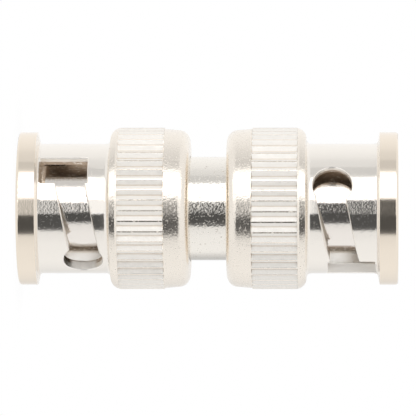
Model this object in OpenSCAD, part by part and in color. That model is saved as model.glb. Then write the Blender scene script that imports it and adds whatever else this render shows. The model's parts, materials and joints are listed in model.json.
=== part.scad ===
// Bayonet barrel adapter, plug to plug, in nickel-plated brass.
// It stands on the rim of its lower nut, with its axis along Z and its origin under the rim.
// Both ends are alike. One end is drawn with its heights measured from the middle of the adapter
// towards the mouth, and is then turned up or down.

/* [Overall] */
// Length over the two rims
overall_length = 34; // [33:0.5:42]
// Gap between the two coupling nuts
nut_gap = 3.3; // [2.5:0.1:5]
// Turn of the lower nut as it stands
lower_nut_turn = 127; // [0:1:359]
// Turn of the upper nut as it stands
upper_nut_turn = 339; // [0:1:359]
// Turn of the lower nut's knurl against its slots
lower_knurl_turn = 6.4; // [0:0.1:10]
// Turn of the upper nut's knurl against its slots
upper_knurl_turn = 0.8; // [0:0.1:10]

/* [Coupling nut] */
// Rise of the knurl's crests over the slotted body
knurl_rise = 1.42; // [1.3:0.02:2]
// Number of knurl flutes
knurl_count = 48; // [36:1:60]
// Depth of one flute
knurl_depth = 0.32; // [0.2:0.01:0.4]
// Width of the flat on each crest
knurl_land = 0.11; // [0.05:0.01:0.2]
// Length of the knurl up to its rounded shoulder
knurl_length = 3.85; // [3:0.05:4.2]
// Run of the flutes onto the rounded shoulder
flute_runout = 0.22; // [0.1:0.02:0.4]
// Length of the smooth land behind the knurl
land_length = 1.25; // [0.8:0.05:1.8]
// Step from the knurl's crests down to the land
land_step = 0.1; // [0.05:0.01:0.18]
// Fall of the land's radius towards the rear edge
land_taper = 0.1; // [0.05:0.01:0.2]
// Radius of the rear edge
rear_round = 1.05; // [0.5:0.05:1.2]
// Radius of the shoulder in front of the knurl
shoulder_round = 1; // [0.7:0.05:1.1]
// Fillet between the shoulder and the slotted body
shoulder_fillet = 0.4; // [0.2:0.05:0.5]
// Wall of the slotted body
body_wall = 0.94; // [0.8:0.02:1.1]
// Rise of the rim over the slotted body
rim_rise = 1.02; // [0.8:0.01:1.2]
// Width of the rim's cylinder
rim_width = 1.65; // [1.2:0.05:1.8]
// Length of the bevel behind the rim
rim_bevel = 0.2; // [0.1:0.05:0.6]
// Fillet between the bevel and the slotted body
rim_fillet = 0.3; // [0.1:0.05:0.4]
// Radius of the rim's front edge
rim_round = 0.25; // [0.2:0.05:0.5]

/* [Bayonet] */
// Radial room round the contact sleeve for the mating shell
shell_room = 0.86; // [0.8:0.01:1]
// Chamfer at the mouth of the bore
mouth_chamfer = 0.25; // [0.1:0.05:0.4]
// Width of the two entry slots
slot_width = 2.75; // [2.2:0.05:3]
// Depth of the entry slots below the mouth
slot_depth = 6.3; // [5.8:0.1:6.6]
// Depth below the mouth at which the entry slots break through the wall
window_depth = 1.95; // [1.8:0.05:2.2]
// Depth of the keyways under the rim
keyway_depth = 0.71; // [0.5:0.01:0.75]
// Width of the ramps along the axis
ramp_width = 2.6; // [2.2:0.1:2.8]
// Depth of a ramp's middle below the mouth, where it leaves the entry slot
ramp_depth = 4.5; // [4:0.1:4.8]
// Rise of a ramp along the axis
ramp_pull = 1.73; // [1.4:0.01:2]
// Turn from an entry slot to its detent
ramp_turn = 90; // [80:1:100]
// Diameter of the detent holes
detent_d = 3.5; // [3:0.1:3.8]
// Depth of the detent holes' middle below the mouth
detent_depth = 5.87; // [5.5:0.01:6]
// Chamfer along the outer edges of the slots, ramps and detents
edge_break = 0.08; // [0.04:0.01:0.12]

/* [Contacts] */
// Bore of the outer contact sleeve, from which the other radii follow
contact_bore_d = 7; // [6.8:0.1:7.2]
// Wall of the outer contact sleeve
contact_wall = 0.53; // [0.45:0.01:0.6]
// Distance from the mouth back to the sleeve's tip
contact_recess = 2.15; // [1.5:0.05:3]
// Lead-in taper at the sleeve's tip
contact_taper = 0.3; // [0.1:0.05:0.5]
// Width of the slits that make the sleeve's fingers
slit_width = 0.35; // [0.2:0.05:0.6]
// Length of the slits
slit_length = 2; // [1:0.1:5]
// Number of slits across the sleeve, each cutting both walls
slit_pairs = 2; // [1:1:3]
// Turn of the lower sleeve's slits
lower_slit_turn = 75; // [0:1:179]
// Turn of the upper sleeve's slits
upper_slit_turn = 84; // [0:1:179]
// Thickness of the sleeve's flange
flange_thickness = 0.8; // [0.6:0.1:1.2]
// Height of the insulator's seat in front of the flange
seat_height = 0.4; // [0.2:0.1:0.8]
// Width of the insulator's seat
seat_width = 0.6; // [0.5:0.02:0.8]
// Length of the sleeve's tail inside the barrel
tail_length = 3.1; // [2:0.1:3.4]
// Diameter of the centre pin
pin_d = 1.35; // [1.3:0.01:1.4]
// Distance from the mouth back to the pin's tip
pin_recess = 2.5; // [2:0.1:4]
// Length of the pin's tapered tip
pin_taper = 0.7; // [0.4:0.1:1]
// Diameter of the pin's flat point
pin_point_d = 0.5; // [0.3:0.05:0.8]
// Diameter of the contact's thicker core
core_d = 2.1; // [1.7:0.1:2.6]
// Diameter of the collar in the middle of the contact
collar_d = 3.2; // [2.8:0.1:4.2]
// Length of the collar
collar_length = 2.4; // [1.6:0.1:3]

/* [Insulator] */
// Distance from the mouth back to the insulator's front
insulator_recess = 2.55; // [2.2:0.05:3]
// Wall round the hollow that takes the mating insulator
socket_wall = 1.06; // [0.8:0.02:1.2]
// Depth of that hollow
socket_depth = 4.85; // [4:0.05:5.2]

/* [Barrel] */
// Step from the necks that carry the nuts up to the barrel
barrel_step = 0.4; // [0.3:0.02:0.8]
// Wall of the necks round the sleeves' tails
neck_wall = 0.78; // [0.5:0.02:0.85]
// Depth of the recess in a nut's rear that takes the barrel's end
recess_depth = 0.95; // [0.6:0.05:1.2]

/* [Spring stack] */
// Thickness of the lip inside a nut's rear
lip_thickness = 0.8; // [0.6:0.1:1]
// Width of the lip
lip_width = 0.54; // [0.4:0.02:0.6]
// Thickness of the back washer, which the lip turns on
back_washer_thickness = 0.3; // [0.2:0.05:0.4]
// Thickness of the front washer, against the flange
front_washer_thickness = 0.25; // [0.2:0.05:0.4]
// Free height of the wave washer
wave_height = 1; // [0.9:0.05:1.3]
// Thickness of the wave washer
wave_thickness = 0.25; // [0.15:0.01:0.3]
// Number of waves round the wave washer
wave_count = 3; // [2:1:5]
// Height of the rubber gasket in front of the flange
gasket_height = 1; // [0.6:0.1:1.4]
// Depth of the groove round the sleeve that holds the gasket
gasket_groove = 0.2; // [0.16:0.02:0.3]

/* [Fits] */
// Radial gap between pieces that turn or slide on each other
run_gap = 0.1; // [0.04:0.01:0.15]
// Radial gap between pieces that are pressed together
slip_gap = 0.02; // [0.01:0.01:0.04]
// Gap between flat faces that turn or press on each other
face_gap = 0.03; // [0.02:0.01:0.06]

/* [Hidden] */
$fn = 96;

nickel = [0.80, 0.78, 0.74];
spring_steel = [0.62, 0.62, 0.62];
white_plastic = [0.95, 0.95, 0.93];
grey_rubber = [0.25, 0.25, 0.26];
gold = [0.86, 0.68, 0.32];

// Overlap that keeps a cut or a joined solid clear of coincident faces
overlap = 0.5;
// Run of the flutes past the knurl's rear, and the share of their depth that clears its crests
flute_run = 0.05;
flute_reach = 1.1;
// Steps along a ramp, round a detent, across a slot and round a wave washer
ramp_steps = 30;
detent_steps = 36;
slot_steps = 6;
wave_steps = 72;

mouth_h = overall_length / 2;

// Heights of the coupling nut, from the adapter's middle
rear_h = nut_gap / 2;
lip_rear_h = rear_h + recess_depth;
lip_front_h = lip_rear_h + lip_thickness;
knurl_rear_h = rear_h + rear_round + land_length;
knurl_front_h = knurl_rear_h + knurl_length;
shoulder_front_h = knurl_front_h + shoulder_round;
rim_rear_h = mouth_h - rim_width;
bevel_h = rim_rear_h - rim_bevel;
bevel_slope = atan2(rim_rise, rim_bevel);
bevel_tangent = rim_fillet * tan(bevel_slope / 2);
rim_fillet_h = bevel_h - bevel_tangent;
slot_end_h = mouth_h - slot_depth;
window_h = mouth_h - window_depth;
detent_h = mouth_h - detent_depth;

// Heights of the stack that the lip pulls against
barrel_end_h = lip_rear_h - face_gap;
back_washer_h = lip_front_h + face_gap;
wave_h = back_washer_h + back_washer_thickness + face_gap;
front_washer_h = wave_h + wave_height + face_gap;
flange_h = front_washer_h + front_washer_thickness;
flange_front_h = flange_h + flange_thickness;
gasket_front_h = flange_front_h + gasket_height;
tail_h = flange_h - tail_length;

// Heights of the contacts and the insulator
seat_h = flange_front_h + seat_height;
contact_tip_h = mouth_h - contact_recess;
insulator_front_h = mouth_h - insulator_recess;
socket_floor_h = insulator_front_h - socket_depth;
collar_h = collar_length / 2;
pin_tip_h = mouth_h - pin_recess;

// Radii of the coupling nut, from the contact sleeve's bore outwards
contact_bore_r = contact_bore_d / 2;
contact_r = contact_bore_r + contact_wall;
bore_r = contact_r + shell_room;
keyway_r = bore_r + keyway_depth;
body_r = bore_r + body_wall;
rim_r = body_r + rim_rise;
knurl_r = body_r + knurl_rise;
land_front_r = knurl_r - land_step;
land_rear_r = land_front_r - land_taper;
shoulder_r = knurl_r - shoulder_round;

// Radii of the pieces that the nut's lip turns on
lip_r = bore_r - lip_width;
neck_r = lip_r - run_gap;
barrel_r = neck_r + barrel_step;
recess_r = barrel_r + run_gap;
ring_outer_r = bore_r - run_gap;
washer_inner_r = neck_r + run_gap / 2;
gasket_r = contact_r - gasket_groove;
tail_r = neck_r - neck_wall - slip_gap;

// Radii of the insulator and its seat
rear_bore_r = contact_bore_r - seat_width;
insulator_rear_r = rear_bore_r - slip_gap;
insulator_front_r = contact_bore_r - slip_gap;
socket_r = insulator_front_r - socket_wall;

// One end, turned up
module upper_end() {
    translate([0, 0, mouth_h])
        children();
}

// One end, turned down
module lower_end() {
    translate([0, 0, mouth_h])
        rotate([180, 0, 0])
            children();
}

// A plain ring with square edges
module ring(inner_r, outer_r, low_h, high_h) {
    rotate_extrude()
        translate([inner_r, low_h])
            square([outer_r - inner_r, high_h - low_h]);
}

// A quarter disc, which rounds an outer corner of a section
module quarter_disc(center_r, center_h, radius, side) {
    translate([center_r, center_h])
        intersection() {
            circle(r = radius);
            translate([0, side < 0 ? -radius : 0])
                square(radius);
        }
}

// Faces of a skin over rings of four points each, open with end caps or closed on itself
function skin_faces(rings, closed) = [
    for (i = [0 : closed ? rings - 1 : rings - 2])
        for (j = [0 : 3])
            let (
                a = 4 * i + j,
                b = 4 * i + (j + 1) % 4,
                c = 4 * ((i + 1) % rings) + (j + 1) % 4,
                d = 4 * ((i + 1) % rings) + j
            )
            each [[a, d, c], [a, c, b]],
    if (!closed) each [[0, 1, 2], [0, 2, 3]],
    if (!closed) let (e = 4 * (rings - 1)) each [[e, e + 2, e + 1], [e, e + 3, e + 2]]
];

// Four corners at one turn about the axis, upright at both radii and wider by flare at the outer
function section(turn, inner_r, outer_r, low_h, high_h, flare = 0) = [
    for (corner = [
        [inner_r, low_h], [outer_r, low_h - flare], [outer_r, high_h + flare], [inner_r, high_h]
    ])
        [corner[0] * cos(turn), -corner[0] * sin(turn), corner[1]]
];

// Four corners of an edge chamfer at a station of [across, height] with its way out of the track
function edge_section(across, h, out_across, out_h) = [
    for (corner = [[-2, -1], [1, 2], [1, -3], [-2, -3]])
        let (
            r = body_r + corner[0] * edge_break,
            y = across + corner[1] * edge_break * out_across
        )
        [sqrt(r * r - y * y), y, h + corner[1] * edge_break * out_h]
];

// Height of a ramp's middle at a turn from its entry slot
function ramp_h(turn) = mouth_h - ramp_depth - ramp_pull * turn / ramp_turn;

// Height of the wave washer's underside at a turn
function wave_low_h(turn) =
    wave_h + (wave_height - wave_thickness) * (1 - cos(wave_count * turn)) / 2;

// Cutter along one helical ramp, from its entry slot to its detent
module ramp_cutter(inner_r, outer_r, half_width, flare) {
    points = [
        for (i = [0 : ramp_steps])
            let (turn = ramp_turn * i / ramp_steps, middle_h = ramp_h(turn))
            each section(turn, inner_r, outer_r, middle_h - half_width, middle_h + half_width, flare)
    ];
    polyhedron(points, skin_faces(ramp_steps + 1, false));
}

// Cutter for the chamfer round one detent
module detent_edge_cutter() {
    points = [
        for (i = [0 : detent_steps - 1])
            let (turn = 360 * i / detent_steps, y = sin(turn), up = cos(turn))
            each edge_section(y * detent_d / 2, detent_h + up * detent_d / 2, y, up)
    ];
    polyhedron(points, skin_faces(detent_steps, true));
}

// Cutter for the chamfer down one side of an entry slot, across its end and up the other side
module slot_edge_cutter() {
    half = slot_width / 2;
    points = [
        each edge_section(half, rim_fillet_h, 1, 0),
        each edge_section(half, slot_end_h, 1, -1),
        for (i = [1 : slot_steps - 1])
            each edge_section(half - slot_width * i / slot_steps, slot_end_h, 0, -1),
        each edge_section(-half, slot_end_h, -1, -1),
        each edge_section(-half, rim_fillet_h, -1, 0)
    ];
    polyhedron(points, skin_faces(slot_steps + 3, false));
}

// Cutters for the two bayonet tracks: entry slots, ramps and detents
module bayonet_cutters() {
    across = 2 * (knurl_r + overlap);
    translate([-keyway_r, -slot_width / 2, slot_end_h])
        cube([2 * keyway_r, slot_width, slot_depth + overlap]);
    translate([-across / 2, -slot_width / 2, slot_end_h])
        cube([across, slot_width, window_h - slot_end_h]);
    rotate([0, 0, -ramp_turn])
        translate([0, 0, detent_h])
            rotate([0, 90, 0])
                cylinder(d = detent_d, h = across, center = true);
    for (side = [0, 180])
        rotate([0, 0, side]) {
            ramp_cutter(bore_r - overlap, body_r + overlap, ramp_width / 2, 0);
            ramp_cutter(
                body_r - 2 * edge_break, body_r + edge_break,
                ramp_width / 2 - edge_break, 3 * edge_break
            );
            slot_edge_cutter();
            rotate([0, 0, -ramp_turn])
                detent_edge_cutter();
        }
}

// Turned section of the nut, before its flutes and tracks are cut
module nut_section() {
    fillet_r = body_r + shoulder_fillet;
    fillet_h = shoulder_front_h + shoulder_fillet;
    rim_fillet_r = body_r + rim_fillet;
    difference() {
        polygon([
            [recess_r, rear_h],
            [land_rear_r - rear_round, rear_h],
            [land_rear_r - rear_round, rear_h + rear_round],
            [land_rear_r, rear_h + rear_round],
            [land_front_r, knurl_rear_h],
            [knurl_r, knurl_rear_h],
            [knurl_r, knurl_front_h],
            [shoulder_r, knurl_front_h],
            [shoulder_r, shoulder_front_h],
            [fillet_r, shoulder_front_h],
            [fillet_r, fillet_h],
            [body_r, fillet_h],
            [body_r, rim_fillet_h],
            [rim_fillet_r, rim_fillet_h],
            [body_r + bevel_tangent * sin(bevel_slope), bevel_h + bevel_tangent * cos(bevel_slope)],
            [rim_r, rim_rear_h],
            [rim_r, mouth_h - rim_round],
            [rim_r - rim_round, mouth_h - rim_round],
            [rim_r - rim_round, mouth_h],
            [bore_r + mouth_chamfer, mouth_h],
            [bore_r, mouth_h - mouth_chamfer],
            [bore_r, lip_front_h],
            [lip_r, lip_front_h],
            [lip_r, lip_rear_h],
            [recess_r, lip_rear_h]
        ]);
        translate([fillet_r, fillet_h])
            circle(r = shoulder_fillet);
        translate([rim_fillet_r, rim_fillet_h])
            circle(r = rim_fillet);
    }
    quarter_disc(land_rear_r - rear_round, rear_h + rear_round, rear_round, -1);
    quarter_disc(shoulder_r, knurl_front_h, shoulder_round, 1);
    quarter_disc(rim_r - rim_round, mouth_h - rim_round, rim_round, 1);
}

// Cutters for the knurl: straight V flutes that leave a narrow flat on each crest
module flute_cutters() {
    pitch = 360 / knurl_count;
    half_turn = pitch / 2 - asin(knurl_land / knurl_r / 2);
    root_r = knurl_r - knurl_depth;
    reach = flute_reach * (knurl_r * cos(half_turn) - root_r);
    half_width = flute_reach * knurl_r * sin(half_turn);
    for (i = [0 : knurl_count - 1])
        rotate([0, 0, (i + 0.5) * pitch])
            translate([root_r, 0, knurl_rear_h - flute_run])
                linear_extrude(height = flute_run + knurl_length + flute_runout)
                    polygon([[0, 0], [reach, -half_width], [reach, half_width]]);
}

module coupling_nut(knurl_turn) {
    color(nickel)
        difference() {
            rotate_extrude()
                nut_section();
            rotate([0, 0, knurl_turn])
                flute_cutters();
            bayonet_cutters();
        }
}

module outer_contact() {
    color(nickel)
        difference() {
            rotate_extrude()
                polygon([
                    [rear_bore_r, tail_h],
                    [tail_r, tail_h],
                    [tail_r, flange_h],
                    [ring_outer_r, flange_h],
                    [ring_outer_r, flange_front_h],
                    [gasket_r, flange_front_h],
                    [gasket_r, gasket_front_h],
                    [contact_r, gasket_front_h],
                    [contact_r, contact_tip_h - contact_taper],
                    [contact_r - contact_taper / 2, contact_tip_h],
                    [contact_bore_r, contact_tip_h],
                    [contact_bore_r, seat_h],
                    [rear_bore_r, seat_h]
                ]);
            for (i = [0 : slit_pairs - 1])
                rotate([0, 0, i * 180 / slit_pairs])
                    translate([-contact_r - overlap, -slit_width / 2, contact_tip_h - slit_length])
                        cube([2 * (contact_r + overlap), slit_width, slit_length + overlap]);
        }
}

module insulator() {
    core_hole_r = core_d / 2 + slip_gap;
    rear_h = collar_h + face_gap;
    color(white_plastic)
        rotate_extrude()
            polygon([
                [core_hole_r, rear_h],
                [insulator_rear_r, rear_h],
                [insulator_rear_r, seat_h],
                [insulator_front_r, seat_h],
                [insulator_front_r, insulator_front_h],
                [socket_r, insulator_front_h],
                [socket_r, socket_floor_h],
                [core_hole_r, socket_floor_h]
            ]);
}

module gasket() {
    color(grey_rubber)
        ring(gasket_r + slip_gap, ring_outer_r, flange_front_h, gasket_front_h);
}

module front_washer() {
    color(spring_steel)
        ring(washer_inner_r, ring_outer_r, front_washer_h, flange_h);
}

module back_washer() {
    color(spring_steel)
        ring(washer_inner_r, ring_outer_r, back_washer_h, back_washer_h + back_washer_thickness);
}

module wave_washer() {
    points = [
        for (i = [0 : wave_steps - 1])
            let (turn = 360 * i / wave_steps, low_h = wave_low_h(turn))
            each section(turn, washer_inner_r, ring_outer_r, low_h, low_h + wave_thickness)
    ];
    color(spring_steel)
        polyhedron(points, skin_faces(wave_steps, true));
}

module barrel() {
    seat_depth = flange_h - tail_h + face_gap;
    color(nickel)
        translate([0, 0, mouth_h])
            difference() {
                union() {
                    cylinder(r = barrel_r, h = 2 * barrel_end_h, center = true);
                    cylinder(r = neck_r, h = 2 * flange_h, center = true);
                }
                cylinder(r = rear_bore_r, h = 2 * (flange_h + overlap), center = true);
                for (side = [0, 180])
                    rotate([side, 0, 0])
                        translate([0, 0, flange_h - seat_depth])
                            cylinder(r = tail_r + slip_gap, h = seat_depth + overlap);
            }
}

module center_contact() {
    color(gold)
        translate([0, 0, mouth_h]) {
            cylinder(d = collar_d, h = collar_length, center = true);
            cylinder(d = core_d, h = 2 * socket_floor_h, center = true);
            cylinder(d = pin_d, h = 2 * (pin_tip_h - pin_taper), center = true);
            for (side = [0, 180])
                rotate([side, 0, 0])
                    translate([0, 0, pin_tip_h - pin_taper])
                        cylinder(d1 = pin_d, d2 = pin_point_d, h = pin_taper);
        }
}

module lower_coupling_nut() {
    lower_end()
        rotate([0, 0, lower_nut_turn])
            coupling_nut(lower_knurl_turn);
}

module upper_coupling_nut() {
    upper_end()
        rotate([0, 0, upper_nut_turn])
            coupling_nut(upper_knurl_turn);
}

module lower_outer_contact() {
    lower_end()
        rotate([0, 0, lower_slit_turn])
            outer_contact();
}

module upper_outer_contact() {
    upper_end()
        rotate([0, 0, upper_slit_turn])
            outer_contact();
}

barrel();
center_contact();
lower_coupling_nut();
upper_coupling_nut();
lower_outer_contact();
upper_outer_contact();
lower_end() insulator();  // lower_insulator
upper_end() insulator();  // upper_insulator
lower_end() gasket();  // lower_gasket
upper_end() gasket();  // upper_gasket
lower_end() front_washer();  // lower_front_washer
upper_end() front_washer();  // upper_front_washer
lower_end() wave_washer();  // lower_wave_washer
upper_end() wave_washer();  // upper_wave_washer
lower_end() back_washer();  // lower_back_washer
upper_end() back_washer();  // upper_back_washer
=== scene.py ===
import json
import math

import bpy
from mathutils import Matrix, Vector


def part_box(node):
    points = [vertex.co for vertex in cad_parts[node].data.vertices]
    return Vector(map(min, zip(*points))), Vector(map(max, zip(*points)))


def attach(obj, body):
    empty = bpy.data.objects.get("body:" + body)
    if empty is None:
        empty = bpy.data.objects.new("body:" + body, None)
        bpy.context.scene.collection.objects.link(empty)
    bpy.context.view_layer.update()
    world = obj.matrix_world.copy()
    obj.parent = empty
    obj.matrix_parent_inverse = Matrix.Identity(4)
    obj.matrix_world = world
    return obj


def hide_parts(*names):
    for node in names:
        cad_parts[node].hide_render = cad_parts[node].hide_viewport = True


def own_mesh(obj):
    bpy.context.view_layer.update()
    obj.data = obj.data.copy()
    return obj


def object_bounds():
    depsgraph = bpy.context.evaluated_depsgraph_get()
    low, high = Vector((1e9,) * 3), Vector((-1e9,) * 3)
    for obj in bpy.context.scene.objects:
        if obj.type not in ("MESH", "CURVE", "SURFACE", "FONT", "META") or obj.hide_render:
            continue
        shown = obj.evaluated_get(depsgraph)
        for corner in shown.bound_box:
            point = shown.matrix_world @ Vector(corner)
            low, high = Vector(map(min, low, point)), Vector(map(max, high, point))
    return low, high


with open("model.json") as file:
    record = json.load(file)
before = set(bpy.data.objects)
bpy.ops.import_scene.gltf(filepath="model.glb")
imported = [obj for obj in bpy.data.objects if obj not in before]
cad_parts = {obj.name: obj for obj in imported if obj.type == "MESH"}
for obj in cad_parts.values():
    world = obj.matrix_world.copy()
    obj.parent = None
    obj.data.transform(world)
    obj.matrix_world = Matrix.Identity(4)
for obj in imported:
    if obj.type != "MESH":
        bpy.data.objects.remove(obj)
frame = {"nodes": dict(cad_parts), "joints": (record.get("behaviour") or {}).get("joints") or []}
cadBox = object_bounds()
bpy.ops.object.select_all(action="DESELECT")
scene = bpy.context.scene
scene.view_settings.view_transform = "Standard"
ends = ("lower", "upper")
mmPerMetre = 1000
middle = (cadBox[0][2] + cadBox[1][2]) / 2 * mmPerMetre  # mm, height of the adapter's middle
print("frame loaded,", len(frame["nodes"]), "nodes")


class Wire:  # a node's output, used in sums like a number
    def __init__(self, tree, socket=None):
        self.tree = tree
        self.socket = socket

    def node(self, kind, settings=None, sockets=None, out=0):  # settings first, then values and links
        made = self.tree.nodes.new("ShaderNode" + kind)
        for name, value in (settings or {}).items():
            if name == "stops":
                ramp = made.color_ramp
                while len(ramp.elements) < len(value):
                    ramp.elements.new(0.5)  # anywhere, the next lines place it
                for stop, (place, level) in zip(ramp.elements, value):
                    stop.position = place
                    stop.color = (level, level, level, 1)
            else:
                setattr(made, name, value)
        for name, value in (sockets or {}).items():
            if isinstance(value, Wire):
                self.tree.links.new(value.socket, made.inputs[name])
            else:
                made.inputs[name].default_value = value
        return Wire(self.tree, made.outputs[out] if made.outputs else None)

    def out(self, name):  # another output of the same node
        return Wire(self.tree, self.socket.node.outputs[name])

    def math(self, operation, first, second=0.0):
        return self.node("Math", {"operation": operation}, {0: first, 1: second})

    def __add__(self, other):
        return self.math("ADD", self, other)

    def __radd__(self, other):
        return self.math("ADD", other, self)

    def __sub__(self, other):
        return self.math("SUBTRACT", self, other)

    def __rsub__(self, other):
        return self.math("SUBTRACT", other, self)

    def __mul__(self, other):
        return self.math("MULTIPLY", self, other)

    def __rmul__(self, other):
        return self.math("MULTIPLY", other, self)

    def __truediv__(self, other):
        return self.math("DIVIDE", self, other)

    def __rtruediv__(self, other):
        return self.math("DIVIDE", other, self)

    def __abs__(self):
        return self.math("ABSOLUTE", self)

    def root(self):
        return self.math("SQRT", self)

    def most(self, other):
        return self.math("MAXIMUM", self, other)

    def least(self, other):
        return self.math("MINIMUM", self, other)

    def rise(self, low, high):  # 0 below low, 1 above high, smooth between
        return self.node("MapRange", {"interpolation_type": "SMOOTHSTEP"},
                         {"Value": self, "From Min": low, "From Max": high})

    def fall(self, bright, dark):  # 1 at the first place and past it, 0 at the second
        return self.node("MapRange", sockets={"Value": self, "From Min": dark, "From Max": bright})

    def past(self, place, soft):  # 0 before the place, 1 after it
        return self.rise(place - soft, place + soft)

    def band(self, low, high, soft):  # 1 between low and high
        return self.past(low, soft) - self.past(high, soft)

    def blend(self, first, second):  # colours mixed by this mask
        return self.node("Mix", {"data_type": "RGBA"}, {0: self, 6: first, 7: second}, out=2)

    def between(self, low, high):  # numbers mixed by this mask
        return self * (high - low) + low


def colour(red, green, blue):
    return (red, green, blue, 1)


def startFinish(name):
    material = bpy.data.materials.new(name)
    material.use_nodes = True
    material.node_tree.nodes.clear()
    wire = Wire(material.node_tree)
    place = wire.node("TexCoord", out="Object")
    return material, wire, place


# camera: the photograph's long lens, turned so that the adapter lies across the picture

cameraView = {
    "aim": (-0.00004, 0.0, 0.01693),  # m
    "distance": 0.5,
    "yaw": 1.6,  # degrees, the upper nut's end a little nearer
    "lens": 481.5,
}


def addCamera():
    yaw = math.radians(cameraView["yaw"])
    back = Vector((0, -math.cos(yaw), math.sin(yaw)))  # from the adapter to the camera
    up = Vector((-1, 0, 0))
    right = up.cross(back)
    bpy.ops.object.camera_add()
    camera = bpy.context.object
    camera.name = "photoCamera"
    camera.data.lens = cameraView["lens"]
    camera.location = Vector(cameraView["aim"]) + cameraView["distance"] * back
    camera.rotation_euler = Matrix((right, up, back)).transposed().to_euler()
    scene.camera = camera
    camera.select_set(False)


addCamera()
print("camera set")


# studio: a white room with a softbox, a dark flag and a strip by the camera, round the upright axis

studio = {
    "bands": (  # degrees round from the camera towards the picture's top, and how bright
        (-180, 0.92), (-150, 0.80), (-126, 0.88), (-105, 0.925), (-65, 0.90), (-45, 0.83), (-41, 0.76),
        (-38, 0.16), (-32, 0.085), (13, 0.075), (16, 1.6), (56, 1.6), (58, 0.80), (64, 0.65), (77, 0.66),
        (80, 0.77), (92, 0.80), (105, 0.895), (120, 0.95), (135, 0.98), (180, 1.00),
    ),
    "brightest": 2,  # what a ramp's 1 stands for
    "poles": 0.9,  # straight up and down
    "poleEdge": (0.24, 0.42),  # where the bands fade out, as height on the unit ball
    "boxEdge": (0.6, 0.85),  # where the softbox ends
    "frontStrip": (-10, 14),  # degrees, the strip by the camera
    "frontSoft": 1,
    "frontDark": (-0.03, 0.06),  # its dark part, as height on the unit ball
    "frontEdges": (-0.08, 0.22),  # where it is bright again
    "floorRadius": 0.09,  # m
    "floorSides": 96,
    "floorColour": 0.95,
    "floorShade": 0.07,  # share of the floor's white that can fall into shadow
    "shadeRadius": (0.005, 0.012),  # m, where that share fades out
}


def addWorld():
    world = bpy.data.worlds.new("studioWorld")
    scene.world = world
    world.use_nodes = True
    world.node_tree.nodes.clear()
    wire = Wire(world.node_tree)
    way = wire.node("SeparateXYZ", sockets={0: wire.node("TexCoord", out="Generated")})
    side, front, height = (way.out(name) for name in "XYZ")
    fullTurn = 360  # degrees, from end to end of the ramp, with the camera at its middle
    turn = wire.math("ARCTAN2", side * -1, front * -1) * math.degrees(1)
    stops = [((angle + fullTurn / 2) / fullTurn, level / studio["brightest"])
             for angle, level in studio["bands"]]
    ring = wire.node("ValToRGB", {"stops": stops}, {0: turn / fullTurn + 0.5}) * studio["brightest"]
    strip = turn.band(*studio["frontStrip"], studio["frontSoft"])
    below = height.fall(studio["frontEdges"][0], studio["frontDark"][0])
    above = height.fall(studio["frontEdges"][1], studio["frontDark"][1])
    ring = ring + strip * below.most(above) * (1 - ring)
    steep = abs(height)
    light = ring + steep.rise(*studio["poleEdge"]) * (studio["poles"] - ring)
    light = light.most(ring * (1 - steep.rise(*studio["boxEdge"])))
    rays = wire.node("LightPath", out="Is Camera Ray")
    seen = rays.most(rays.out("Is Transmission Ray"))
    glow = wire.node("Background", sockets={"Color": light})
    white = wire.node("Background", sockets={"Color": colour(1, 1, 1)})
    both = wire.node("MixShader", sockets={0: seen, 1: glow, 2: white})
    wire.node("OutputWorld", sockets={"Surface": both})


def addFloor():
    bpy.ops.mesh.primitive_circle_add(vertices=studio["floorSides"], radius=studio["floorRadius"],
                                      fill_type="NGON")
    floor = bpy.context.object
    floor.name = "floor"
    material, wire, place = startFinish("floorPaper")
    away = wire.node("VectorMath", {"operation": "LENGTH"}, {0: place}, out="Value")
    shade = (1 - away.rise(*studio["shadeRadius"])) * studio["floorShade"]
    level = studio["floorColour"]
    paper = wire.node("BsdfDiffuse", sockets={"Color": colour(level, level, level)})
    white = wire.node("Emission", sockets={"Color": colour(1, 1, 1)})
    rays = wire.node("LightPath", out="Is Camera Ray")
    seen = rays.most(rays.out("Is Transmission Ray"))
    mixed = wire.node("MixShader", sockets={0: seen * (1 - shade), 1: paper, 2: white})
    clear = wire.node("BsdfTransparent")  # the metal shows the studio, not the floor's edge
    mixed = wire.node("MixShader", sockets={0: rays.out("Is Glossy Ray"), 1: mixed, 2: clear})
    wire.node("OutputMaterial", sockets={"Surface": mixed})
    floor.data.materials.append(material)
    floor.select_set(False)


addWorld()
addFloor()
print("studio set")


# finishes: what they share

plating = {
    "fineSize": 0.17,  # mm
    "speckSize": 0.2,
    "speckNoise": (0.6, 0.66),  # noise level where a dull speck begins, and where it is full
    "coarseDetail": 2.0,
}


def endFinish(wire, sockets):
    surface = wire.node("BsdfPrincipled", sockets=sockets)
    wire.node("OutputMaterial", sockets={"Surface": surface})


def dress(material, *nodes):
    for node in nodes:
        frame["nodes"][node].data.materials[0] = material


def turnedPlaces(wire, place):  # mm from the axis, and mm from the adapter's middle
    axis = wire.node("SeparateXYZ", sockets={0: place})
    x, y, z = (axis.out(name) * mmPerMetre for name in "XYZ")
    return (x * x + y * y).root(), abs(z - middle)


def facings(wire, place):  # the parts of the normal, of which X points down in the photograph
    return wire.node("SeparateXYZ", sockets={0: place.out("Normal")})


def grain(wire, place, size, detail=1.0):  # noise of a size in mm
    return wire.node("TexNoise", sockets={"Vector": place, "Scale": mmPerMetre / size, "Detail": detail})


def nickelGrain(wire, place, coarseSize):  # fine grain, coarse grain and dull specks
    fine = grain(wire, place, plating["fineSize"])
    coarse = grain(wire, place, coarseSize, plating["coarseDetail"])
    speck = grain(wire, place, plating["speckSize"]).rise(*plating["speckNoise"])
    return fine, coarse, speck


def toolMarks(wire, radius, height, size):  # rings left by the lathe
    rings = wire.node("CombineXYZ", sockets={0: radius, 2: height})
    return wire.node("TexNoise", sockets={"Vector": rings, "Scale": 1 / size, "Detail": 1.0})


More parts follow.
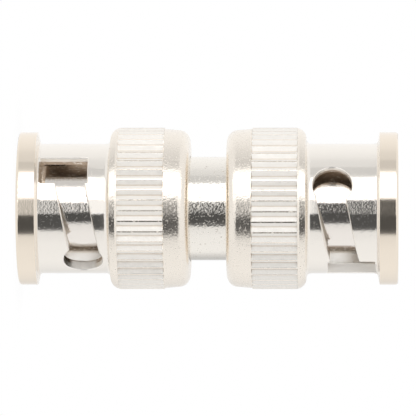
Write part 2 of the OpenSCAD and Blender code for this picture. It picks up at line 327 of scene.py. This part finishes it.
def swing(noise, amount):  # as far up as down, because noise is 0.5 on average
    return (noise - 0.5) * amount


def roundOff(wire, height, span, start, size):  # mm, a slope that steepens over the span
    along = (height.most(span[0]).least(span[1]) - start) / size
    return wire.math("LOGARITHM", 1 - along * along, math.e) * (size / 2)


def relief(wire, depth):  # depth in mm
    return wire.node("Bump", sockets={"Height": depth, "Distance": 1 / mmPerMetre, "Strength": 1.0})


# coupling nuts: polished body, satin rim and knurl, rough tracks, with painted shade on some track walls
# and in the knurl's valleys

nutFinish = {
    "bodyColour": colour(0.952, 0.907, 0.844),
    "rearColour": colour(0.94, 0.875, 0.79),
    "rimColour": colour(0.925, 0.828, 0.708),
    "trackColour": colour(0.98, 0.955, 0.91),
    # painted shade for the track walls
    "shadeColour": colour(0.46, 0.37, 0.29),
    # painted shade for the knurl's valleys
    "valleyShadeColour": colour(0.84, 0.76, 0.67),
    "flankColour": colour(0.97, 0.937, 0.887),
    "rimFrom": 15.12,  # spans are in mm from the adapter's middle
    "rimSoft": 0.05,
    "shoulderEnd": 8.9,
    "shoulderSoft": 0.2,
    "knurlSpan": (3.95, 8.02),
    "knurlSoft": 0.03,
    "crestRadius": (7.225, 7.24),  # radii are in mm from the axis
    "valleyRadius": (6.95, 7.0),
    "trackSpan": (9.2, 16.0),
    "trackSpanSoft": 0.1,
    "trackRadius": (4.8, 5.8),
    "trackRadiusSoft": 0.01,
    "boreRadius": (4.95, 5.05),
    "wallRadius": (5.2, 5.36),  # the walls get painted shade below this
    "downFacing": (-0.2, 0.05),  # walls that face down in the photograph
    "endFacing": (0.5, 0.8),  # walls that face along the axis
    "shadeNoise": (0.2, 0.5),
    "notchSpan": (15.1, 15.6),  # where a slot runs into the rim's bevel
    "notchRadius": (5.85, 6.8),
    "notchSoft": 0.02,
    "toeSpan": (9.2, 11.4),  # the body's gentle run up to the shoulder
    "toeCurve": 0.027,
    "bodyTaper": {"lower": 0.004, "upper": 0.019},  # the body widens a little towards the rim
    "flankLift": {"lower": 0.08, "upper": 0.33},  # flatter flanks
    "step": {"span": (8.2, 8.72), "start": 7.8, "size": 1},  # turned into the rounded shoulder
    "fillet": {"span": (14.9, 15.08), "start": 14.9, "size": 0.3},  # behind the rim, a tighter one
    "landSpan": (2.6, 3.95),
    "landLevel": 0.09,
    "coarseSize": 0.35,
    "markSize": 0.09,
    "bodyDepth": 0.003,  # mm
    "rearDepth": 0.012,
    "rimDepth": 0.0015,
    "flankDepth": 0.022,
    "trackDepth": 0.02,
    "markDepth": 0.0009,
    "bodyRoughness": 0.08,
    "rearRoughness": 0.2,
    "rimRoughness": 0.12,
    "flankRoughness": {"lower": 0.42, "upper": 0.32},
    "trackRoughness": 0.35,
    "roughnessSwing": 0.08,
    "speckDull": (0.14, 0.24),  # on the body, and behind the shoulder
    "flankMetal": 0.08,
    "flankMottle": {"lower": 0.35, "upper": 0.2},
    "mottleNoise": (0.45, 0.65),
    "trackMetal": 0.1,  # the walls that face up in the photograph are matt
}


def platedNut(which):
    given = nutFinish
    material, wire, place = startFinish(which + "NutNickel")
    radius, height = turnedPlaces(wire, place)
    rim = height.past(given["rimFrom"], given["rimSoft"])
    rear = 1 - height.past(given["shoulderEnd"], given["shoulderSoft"])
    knurl = height.band(*given["knurlSpan"], given["knurlSoft"])
    flank = knurl * (1 - radius.rise(*given["crestRadius"]))
    valley = knurl * (1 - radius.rise(*given["valleyRadius"]))
    track = radius.band(*given["trackRadius"], given["trackRadiusSoft"])
    track = track * height.band(*given["trackSpan"], given["trackSpanSoft"])
    wall = track * radius.rise(*given["boreRadius"])
    notch = height.band(*given["notchSpan"], given["notchSoft"])
    notch = notch * radius.band(*given["notchRadius"], given["notchSoft"])
    normal = facings(wire, place)
    facing = normal.rise(*given["downFacing"]).most(abs(normal.out("Z")).rise(*given["endFacing"]))
    fine, coarse, speck = nickelGrain(wire, place, given["coarseSize"])
    marks = toolMarks(wire, radius, height, given["markSize"])

    tint = rear.blend(given["bodyColour"], given["rearColour"])
    tint = rim.blend(tint, given["rimColour"])
    tint = flank.blend(tint, given["flankColour"])
    # painted shade: the knurl's valleys darker than its flanks
    tint = valley.blend(tint, given["valleyShadeColour"])
    # painted shade: dark brown on the deeper track walls that face down or along the axis, broken up by
    # noise
    paintedShade = facing * (1 - radius.rise(*given["wallRadius"])) * coarse.rise(*given["shadeNoise"])
    tint = track.blend(tint, paintedShade.blend(given["trackColour"], given["shadeColour"]))

    roughness = rear.between(given["bodyRoughness"], given["rearRoughness"])
    roughness = roughness + rim * (given["rimRoughness"] - given["bodyRoughness"])
    roughness = roughness + flank * (given["flankRoughness"][which] - given["rearRoughness"])
    roughness = roughness + track * (given["trackRoughness"] - given["bodyRoughness"])
    roughness = roughness + swing(coarse, given["roughnessSwing"])
    roughness = roughness + speck * rear.between(*given["speckDull"]) * (1 - rim)

    mottle = coarse.rise(*given["mottleNoise"]) * given["flankMottle"][which]
    metal = 1 - flank * (1 - given["flankMetal"] - mottle)
    metal = metal - wall * (1 - facing) * (1 - given["trackMetal"])
    metal = metal - notch * (1 - given["trackMetal"])

    depth = rear.between(given["bodyDepth"], given["rearDepth"])
    depth = depth + flank * (given["flankDepth"] - given["rearDepth"])
    depth = depth + rim * (given["rimDepth"] - given["bodyDepth"])
    depth = depth + track * (given["trackDepth"] - given["bodyDepth"])
    toe = (given["toeSpan"][1] - height.most(given["toeSpan"][0])).most(0)
    taper = (height.least(given["rimFrom"]) - given["toeSpan"][1]).most(0)
    surface = depth * fine + marks * given["markDepth"] + toe * toe * given["toeCurve"]
    surface = surface + height.fall(*given["landSpan"]) * given["landLevel"]
    surface = surface - roundOff(wire, height, **given["step"])
    surface = surface + roundOff(wire, height, **given["fillet"])
    surface = surface + taper * given["bodyTaper"][which]
    surface = surface + knurl * (given["crestRadius"][1] - radius).most(0) * given["flankLift"][which]
    endFinish(wire, {"Base Color": tint, "Metallic": metal, "Roughness": roughness,
                     "Normal": relief(wire, surface)})
    return material


for which in ends:
    dress(platedNut(which), which + "_coupling_nut")
print("coupling nuts finished")


# barrel: grainy plating, painted shade along one side, with small pits

barrelFinish = {
    "colour": colour(0.94, 0.90, 0.835),
    "undersideShadeColour": colour(0.06, 0.055, 0.05),
    "undersideFacing": (1.0, 0.84),  # the side that is down in the photograph
    "undersideShadeShare": 0.5,
    "pitColour": colour(0.45, 0.38, 0.31),
    "pitSize": 0.5,  # mm
    "pitDetail": 3.0,
    "pitNoise": (0.66, 0.70),
    "pitShare": 0.4,
    "pitDepth": 0.01,
    "coarseSize": 0.3,
    "depth": 0.009,
    "roughness": 0.1,
    "roughnessSwing": 0.1,
    "speckDull": 0.22,
}


def platedBarrel():
    given = barrelFinish
    material, wire, place = startFinish("barrelNickel")
    fine, coarse, speck = nickelGrain(wire, place, given["coarseSize"])
    # painted shade: near-black mixed in on the side that faces +X, standing in for the shaded ground
    # reflected there
    undersideShade = facings(wire, place).fall(*given["undersideFacing"]) * given["undersideShadeShare"]
    pits = grain(wire, place, given["pitSize"], given["pitDetail"]).rise(*given["pitNoise"])
    tint = undersideShade.blend(given["colour"], given["undersideShadeColour"])
    tint = (pits * given["pitShare"]).blend(tint, given["pitColour"])
    roughness = given["roughness"] + swing(coarse, given["roughnessSwing"]) + speck * given["speckDull"]
    endFinish(wire, {"Base Color": tint, "Metallic": 1.0, "Roughness": roughness,
                     "Normal": relief(wire, fine * given["depth"] - pits * given["pitDepth"])})
    return material


dress(platedBarrel(), "barrel")
print("barrel finished")


# contact sleeves: grainy plating, with painted shade in a stripe along one side

sleeveFinish = {
    "colour": colour(0.92, 0.87, 0.815),
    "shadeColour": colour(0.33, 0.26, 0.20),
    "shadeFacing": (0.83, 0.95),  # down in the photograph
    "shadeSoft": 0.03,
    "shadeFront": (-0.1, 0.1),  # only on the half that the photograph shows
    "shadeNoise": (0.2, 0.5),
    "coarseSize": 0.3,  # mm
    "depth": 0.007,
    "roughness": 0.1,
    "roughnessSwing": 0.1,
    "speckDull": 0.15,
}


def platedSleeve():
    given = sleeveFinish
    material, wire, place = startFinish("sleeveNickel")
    fine, coarse, speck = nickelGrain(wire, place, given["coarseSize"])
    normal = facings(wire, place)
    # painted shade: a dark brown stripe on the side that faces down, only on the front half, broken up
    # by noise
    stripe = normal.band(*given["shadeFacing"], given["shadeSoft"])
    stripe = stripe * normal.out("Y").fall(*given["shadeFront"])
    paintedShade = stripe * coarse.rise(*given["shadeNoise"])
    tint = paintedShade.blend(given["colour"], given["shadeColour"])
    roughness = given["roughness"] + swing(coarse, given["roughnessSwing"]) + speck * given["speckDull"]
    endFinish(wire, {"Base Color": tint, "Metallic": 1.0, "Roughness": roughness,
                     "Normal": relief(wire, fine * given["depth"])})
    return material


dress(platedSleeve(), "lower_outer_contact", "upper_outer_contact")
print("contact sleeves finished")


# center contact: gold over nickel, turned

pinFinish = {
    "colour": colour(0.93, 0.68, 0.30),
    "wornColour": colour(0.80, 0.60, 0.33),
    "wearSize": 0.9,  # mm
    "wearDetail": 4.0,
    "wearNoise": (0.45, 0.7),
    "wearDull": 0.1,
    "markSize": 0.08,
    "depth": 0.003,
    "roughness": 0.2,
    "roughnessSwing": 0.1,
}


def goldPin():
    given = pinFinish
    material, wire, place = startFinish("pinGold")
    marks = toolMarks(wire, *turnedPlaces(wire, place), given["markSize"])
    worn = grain(wire, place, given["wearSize"], given["wearDetail"]).rise(*given["wearNoise"])
    roughness = given["roughness"] + worn * given["wearDull"] + swing(marks, given["roughnessSwing"])
    endFinish(wire, {"Base Color": worn.blend(given["colour"], given["wornColour"]),
                     "Metallic": 1.0, "Roughness": roughness,
                     "Normal": relief(wire, marks * given["depth"])})
    return material


dress(goldPin(), "center_contact")
print("center contact finished")


# insulators: white plastic, turned, with a faint cloudiness

insulatorFinish = {
    "colour": colour(0.88, 0.87, 0.84),
    "cloudColour": colour(0.81, 0.80, 0.76),
    "cloudSize": 1.4,  # mm
    "cloudDetail": 3.0,
    "cloudNoise": (0.35, 0.65),
    "markSize": 0.12,
    "depth": 0.006,
    "roughness": 0.42,
    "roughnessSwing": 0.15,
}


def whitePlastic():
    given = insulatorFinish
    material, wire, place = startFinish("insulatorPlastic")
    marks = toolMarks(wire, *turnedPlaces(wire, place), given["markSize"])
    cloud = grain(wire, place, given["cloudSize"], given["cloudDetail"]).rise(*given["cloudNoise"])
    endFinish(wire, {"Base Color": cloud.blend(given["colour"], given["cloudColour"]),
                     "Roughness": given["roughness"] + swing(marks, given["roughnessSwing"]),
                     "Normal": relief(wire, marks * given["depth"])})
    return material


dress(whitePlastic(), "lower_insulator", "upper_insulator")
print("insulators finished")


# gaskets: moulded rubber with a dusty bloom

gasketFinish = {
    "colour": colour(0.045, 0.045, 0.048),
    "bloomColour": colour(0.12, 0.12, 0.12),
    "bloomSize": 0.8,  # mm
    "bloomDetail": 4.0,
    "bloomNoise": (0.42, 0.7),
    "bloomDull": 0.15,
    "grainSize": 0.08,
    "depth": 0.012,
    "roughness": 0.62,
}


def mouldedRubber():
    given = gasketFinish
    material, wire, place = startFinish("gasketRubber")
    fine = grain(wire, place, given["grainSize"])
    bloom = grain(wire, place, given["bloomSize"], given["bloomDetail"]).rise(*given["bloomNoise"])
    endFinish(wire, {"Base Color": bloom.blend(given["colour"], given["bloomColour"]),
                     "Roughness": given["roughness"] + bloom * given["bloomDull"],
                     "Normal": relief(wire, fine * given["depth"])})
    return material


dress(mouldedRubber(), "lower_gasket", "upper_gasket")
print("gaskets finished")


# washers: spring steel, rubbed in rings by the turning nuts

washerFinish = {
    "colour": colour(0.58, 0.57, 0.56),
    "rubbedColour": colour(0.72, 0.71, 0.69),
    "rubSize": 0.6,  # mm
    "rubDetail": 3.0,
    "rubNoise": (0.35, 0.65),
    "rubShine": 0.08,
    "ringSize": 0.06,
    "depth": 0.004,
    "roughness": 0.3,
    "roughnessSwing": 0.1,
}


def springSteel():
    given = washerFinish
    material, wire, place = startFinish("washerSteel")
    rings = toolMarks(wire, *turnedPlaces(wire, place), given["ringSize"])
    rubbed = grain(wire, place, given["rubSize"], given["rubDetail"]).rise(*given["rubNoise"])
    roughness = given["roughness"] - rubbed * given["rubShine"] + swing(rings, given["roughnessSwing"])
    endFinish(wire, {"Base Color": rubbed.blend(given["colour"], given["rubbedColour"]),
                     "Metallic": 1.0, "Roughness": roughness,
                     "Normal": relief(wire, rings * given["depth"])})
    return material


dress(springSteel(), "lower_wave_washer", "upper_wave_washer", "lower_back_washer", "upper_back_washer",
      "lower_front_washer", "upper_front_washer")
print("washers finished")


# wave springs: the wave washers again, with rounded edges, riding on the barrel in their place

waveSpring = {
    "mergeWithin": 0.000001,  # m
    "edgeRound": 0.00004,
    "edgeSteps": 2,
    "edgeAngle": 50,  # degrees
}


def addWaveSpring(which):
    given = waveSpring
    node = which + "_wave_washer"
    pull = next(joint for joint in frame["joints"] if joint["name"] == which + "_nut_pull")
    low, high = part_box(node)
    tall, travel = high.z - low.z, pull["range_m"][1]
    spring = bpy.data.objects.new(which + "WaveSpring", frame["nodes"][node].data.copy())
    scene.collection.objects.link(spring)
    bpy.context.view_layer.objects.active = spring
    spring.select_set(True)
    bpy.ops.object.mode_set(mode="EDIT")
    bpy.ops.mesh.select_all(action="SELECT")
    bpy.ops.mesh.remove_doubles(threshold=given["mergeWithin"])
    bpy.ops.object.mode_set(mode="OBJECT")
    bpy.ops.object.modifier_add(type="BEVEL")
    bevel = spring.modifiers[0]
    bevel.width = given["edgeRound"]
    bevel.segments = given["edgeSteps"]
    bevel.angle_limit = math.radians(given["edgeAngle"])
    bpy.ops.object.modifier_apply(modifier=bevel.name)
    bpy.ops.object.shade_smooth_by_angle(angle=math.radians(given["edgeAngle"]))
    spring.select_set(False)
    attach(spring, "barrel")
    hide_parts(node)
    (tall - travel) / tall
    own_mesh(spring)


for which in ends:
    addWaveSpring(which)
print("wave springs made")
